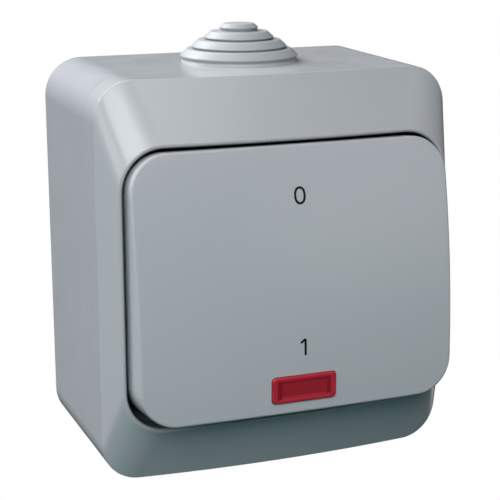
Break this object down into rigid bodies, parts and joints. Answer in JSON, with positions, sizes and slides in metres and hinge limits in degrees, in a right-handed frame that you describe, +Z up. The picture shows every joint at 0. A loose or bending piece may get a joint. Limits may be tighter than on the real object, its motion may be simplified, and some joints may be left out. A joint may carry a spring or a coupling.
{
  "type": "outdoor weatherproof switch",
  "caption": "Surface-mounted outdoor rocker switch: grey box with a bevelled cover, large convex rocker, red pilot lens and a stepped membrane cable gland on top.",
  "frame": {"origin": "middle of the flat back face, in the wall plane", "axes": "+Z up, front towards -Y, +Y into the wall, +X to the right as seen from the front"},
  "size_m": [0.074, 0.0532, 0.088],
  "materials": {
    "body_grey": "smooth, slightly glossy moulding",
    "gland_rubber": "soft satin rubber",
    "seal_rubber": "matt rubber",
    "lens_red": "translucent red, polished",
    "mechanism_white": "moulded thermoset",
    "carrier_white": "moulded nylon",
    "plunger_plastic": "moulded acetal",
    "steel": "zinc plated",
    "brass": "stamped brass",
    "silver": "silver alloy contact",
    "lamp_glass": "clear bulb",
    "resistor_body": "lacquered"
  },
  "bodies": {
    "root": {"back_box": "body_grey", "front_cover": "body_grey", "cable_gland": "gland_rubber", "box_gasket": "seal_rubber", "rocker_seal": "seal_rubber", "cover_screws": "steel", "frame_screws": "steel", "support_frame": "steel", "mechanism_rivets": "steel", "terminal_clamps": "brass", "terminal_screws": "steel", "mechanism_housing": "mechanism_white", "mechanism_cover": "mechanism_white", "fixed_tips": "silver", "pivot_contact_left": "brass", "pivot_contact_right": "brass", "fixed_contact_left": "brass", "fixed_contact_right": "brass", "pilot_lamp": "lamp_glass", "lamp_leads": "steel", "lamp_resistor": "resistor_body", "earth_terminal": "brass", "earth_screws": "steel"},
    "rocker": {"rocker": "body_grey", "indicator_lens": "lens_red", "rocker_carrier": "carrier_white", "plunger_spring_left": "steel", "plunger_spring_right": "steel"},
    "bridge_left": {"contact_bridge_left": "brass", "moving_tip_left": "silver"},
    "bridge_right": {"contact_bridge_right": "brass", "moving_tip_right": "silver"},
    "plunger_left": {"plunger_left": "plunger_plastic"},
    "plunger_right": {"plunger_right": "plunger_plastic"}
  },
  "joints": [
    {"name": "rocker_tilt", "type": "hinge", "parent": "root", "child": "rocker", "pos_m": [0, -0.0381, 0], "axis": [1, 0, 0], "range_deg": [0, 12.86]},
    {"name": "bridge_left_tilt", "type": "hinge", "parent": "root", "child": "bridge_left", "pos_m": [-0.0085, -0.0183, 0], "axis": [1, 0, 0], "range_deg": [-14, 0]},
    {"name": "bridge_right_tilt", "type": "hinge", "parent": "root", "child": "bridge_right", "pos_m": [0.0085, -0.0183, 0], "axis": [1, 0, 0], "range_deg": [-14, 0]},
    {"name": "plunger_left_slide", "type": "slide", "parent": "rocker", "child": "plunger_left", "axis": [0, -0.9937, 0.112], "range_m": [0, 0.0005], "stiffness_N_per_m": 300, "springref_m": -0.002, "deforming": ["plunger_spring_left"]},
    {"name": "plunger_right_slide", "type": "slide", "parent": "rocker", "child": "plunger_right", "axis": [0, -0.9937, 0.112], "range_m": [0, 0.0005], "stiffness_N_per_m": 300, "springref_m": -0.002, "deforming": ["plunger_spring_right"]}
  ],
  "couplings": [
    {"joint": "bridge_left_tilt", "follows": "rocker_tilt", "ratio": -1.088},
    {"joint": "bridge_right_tilt", "follows": "rocker_tilt", "ratio": -1.088}
  ]
}
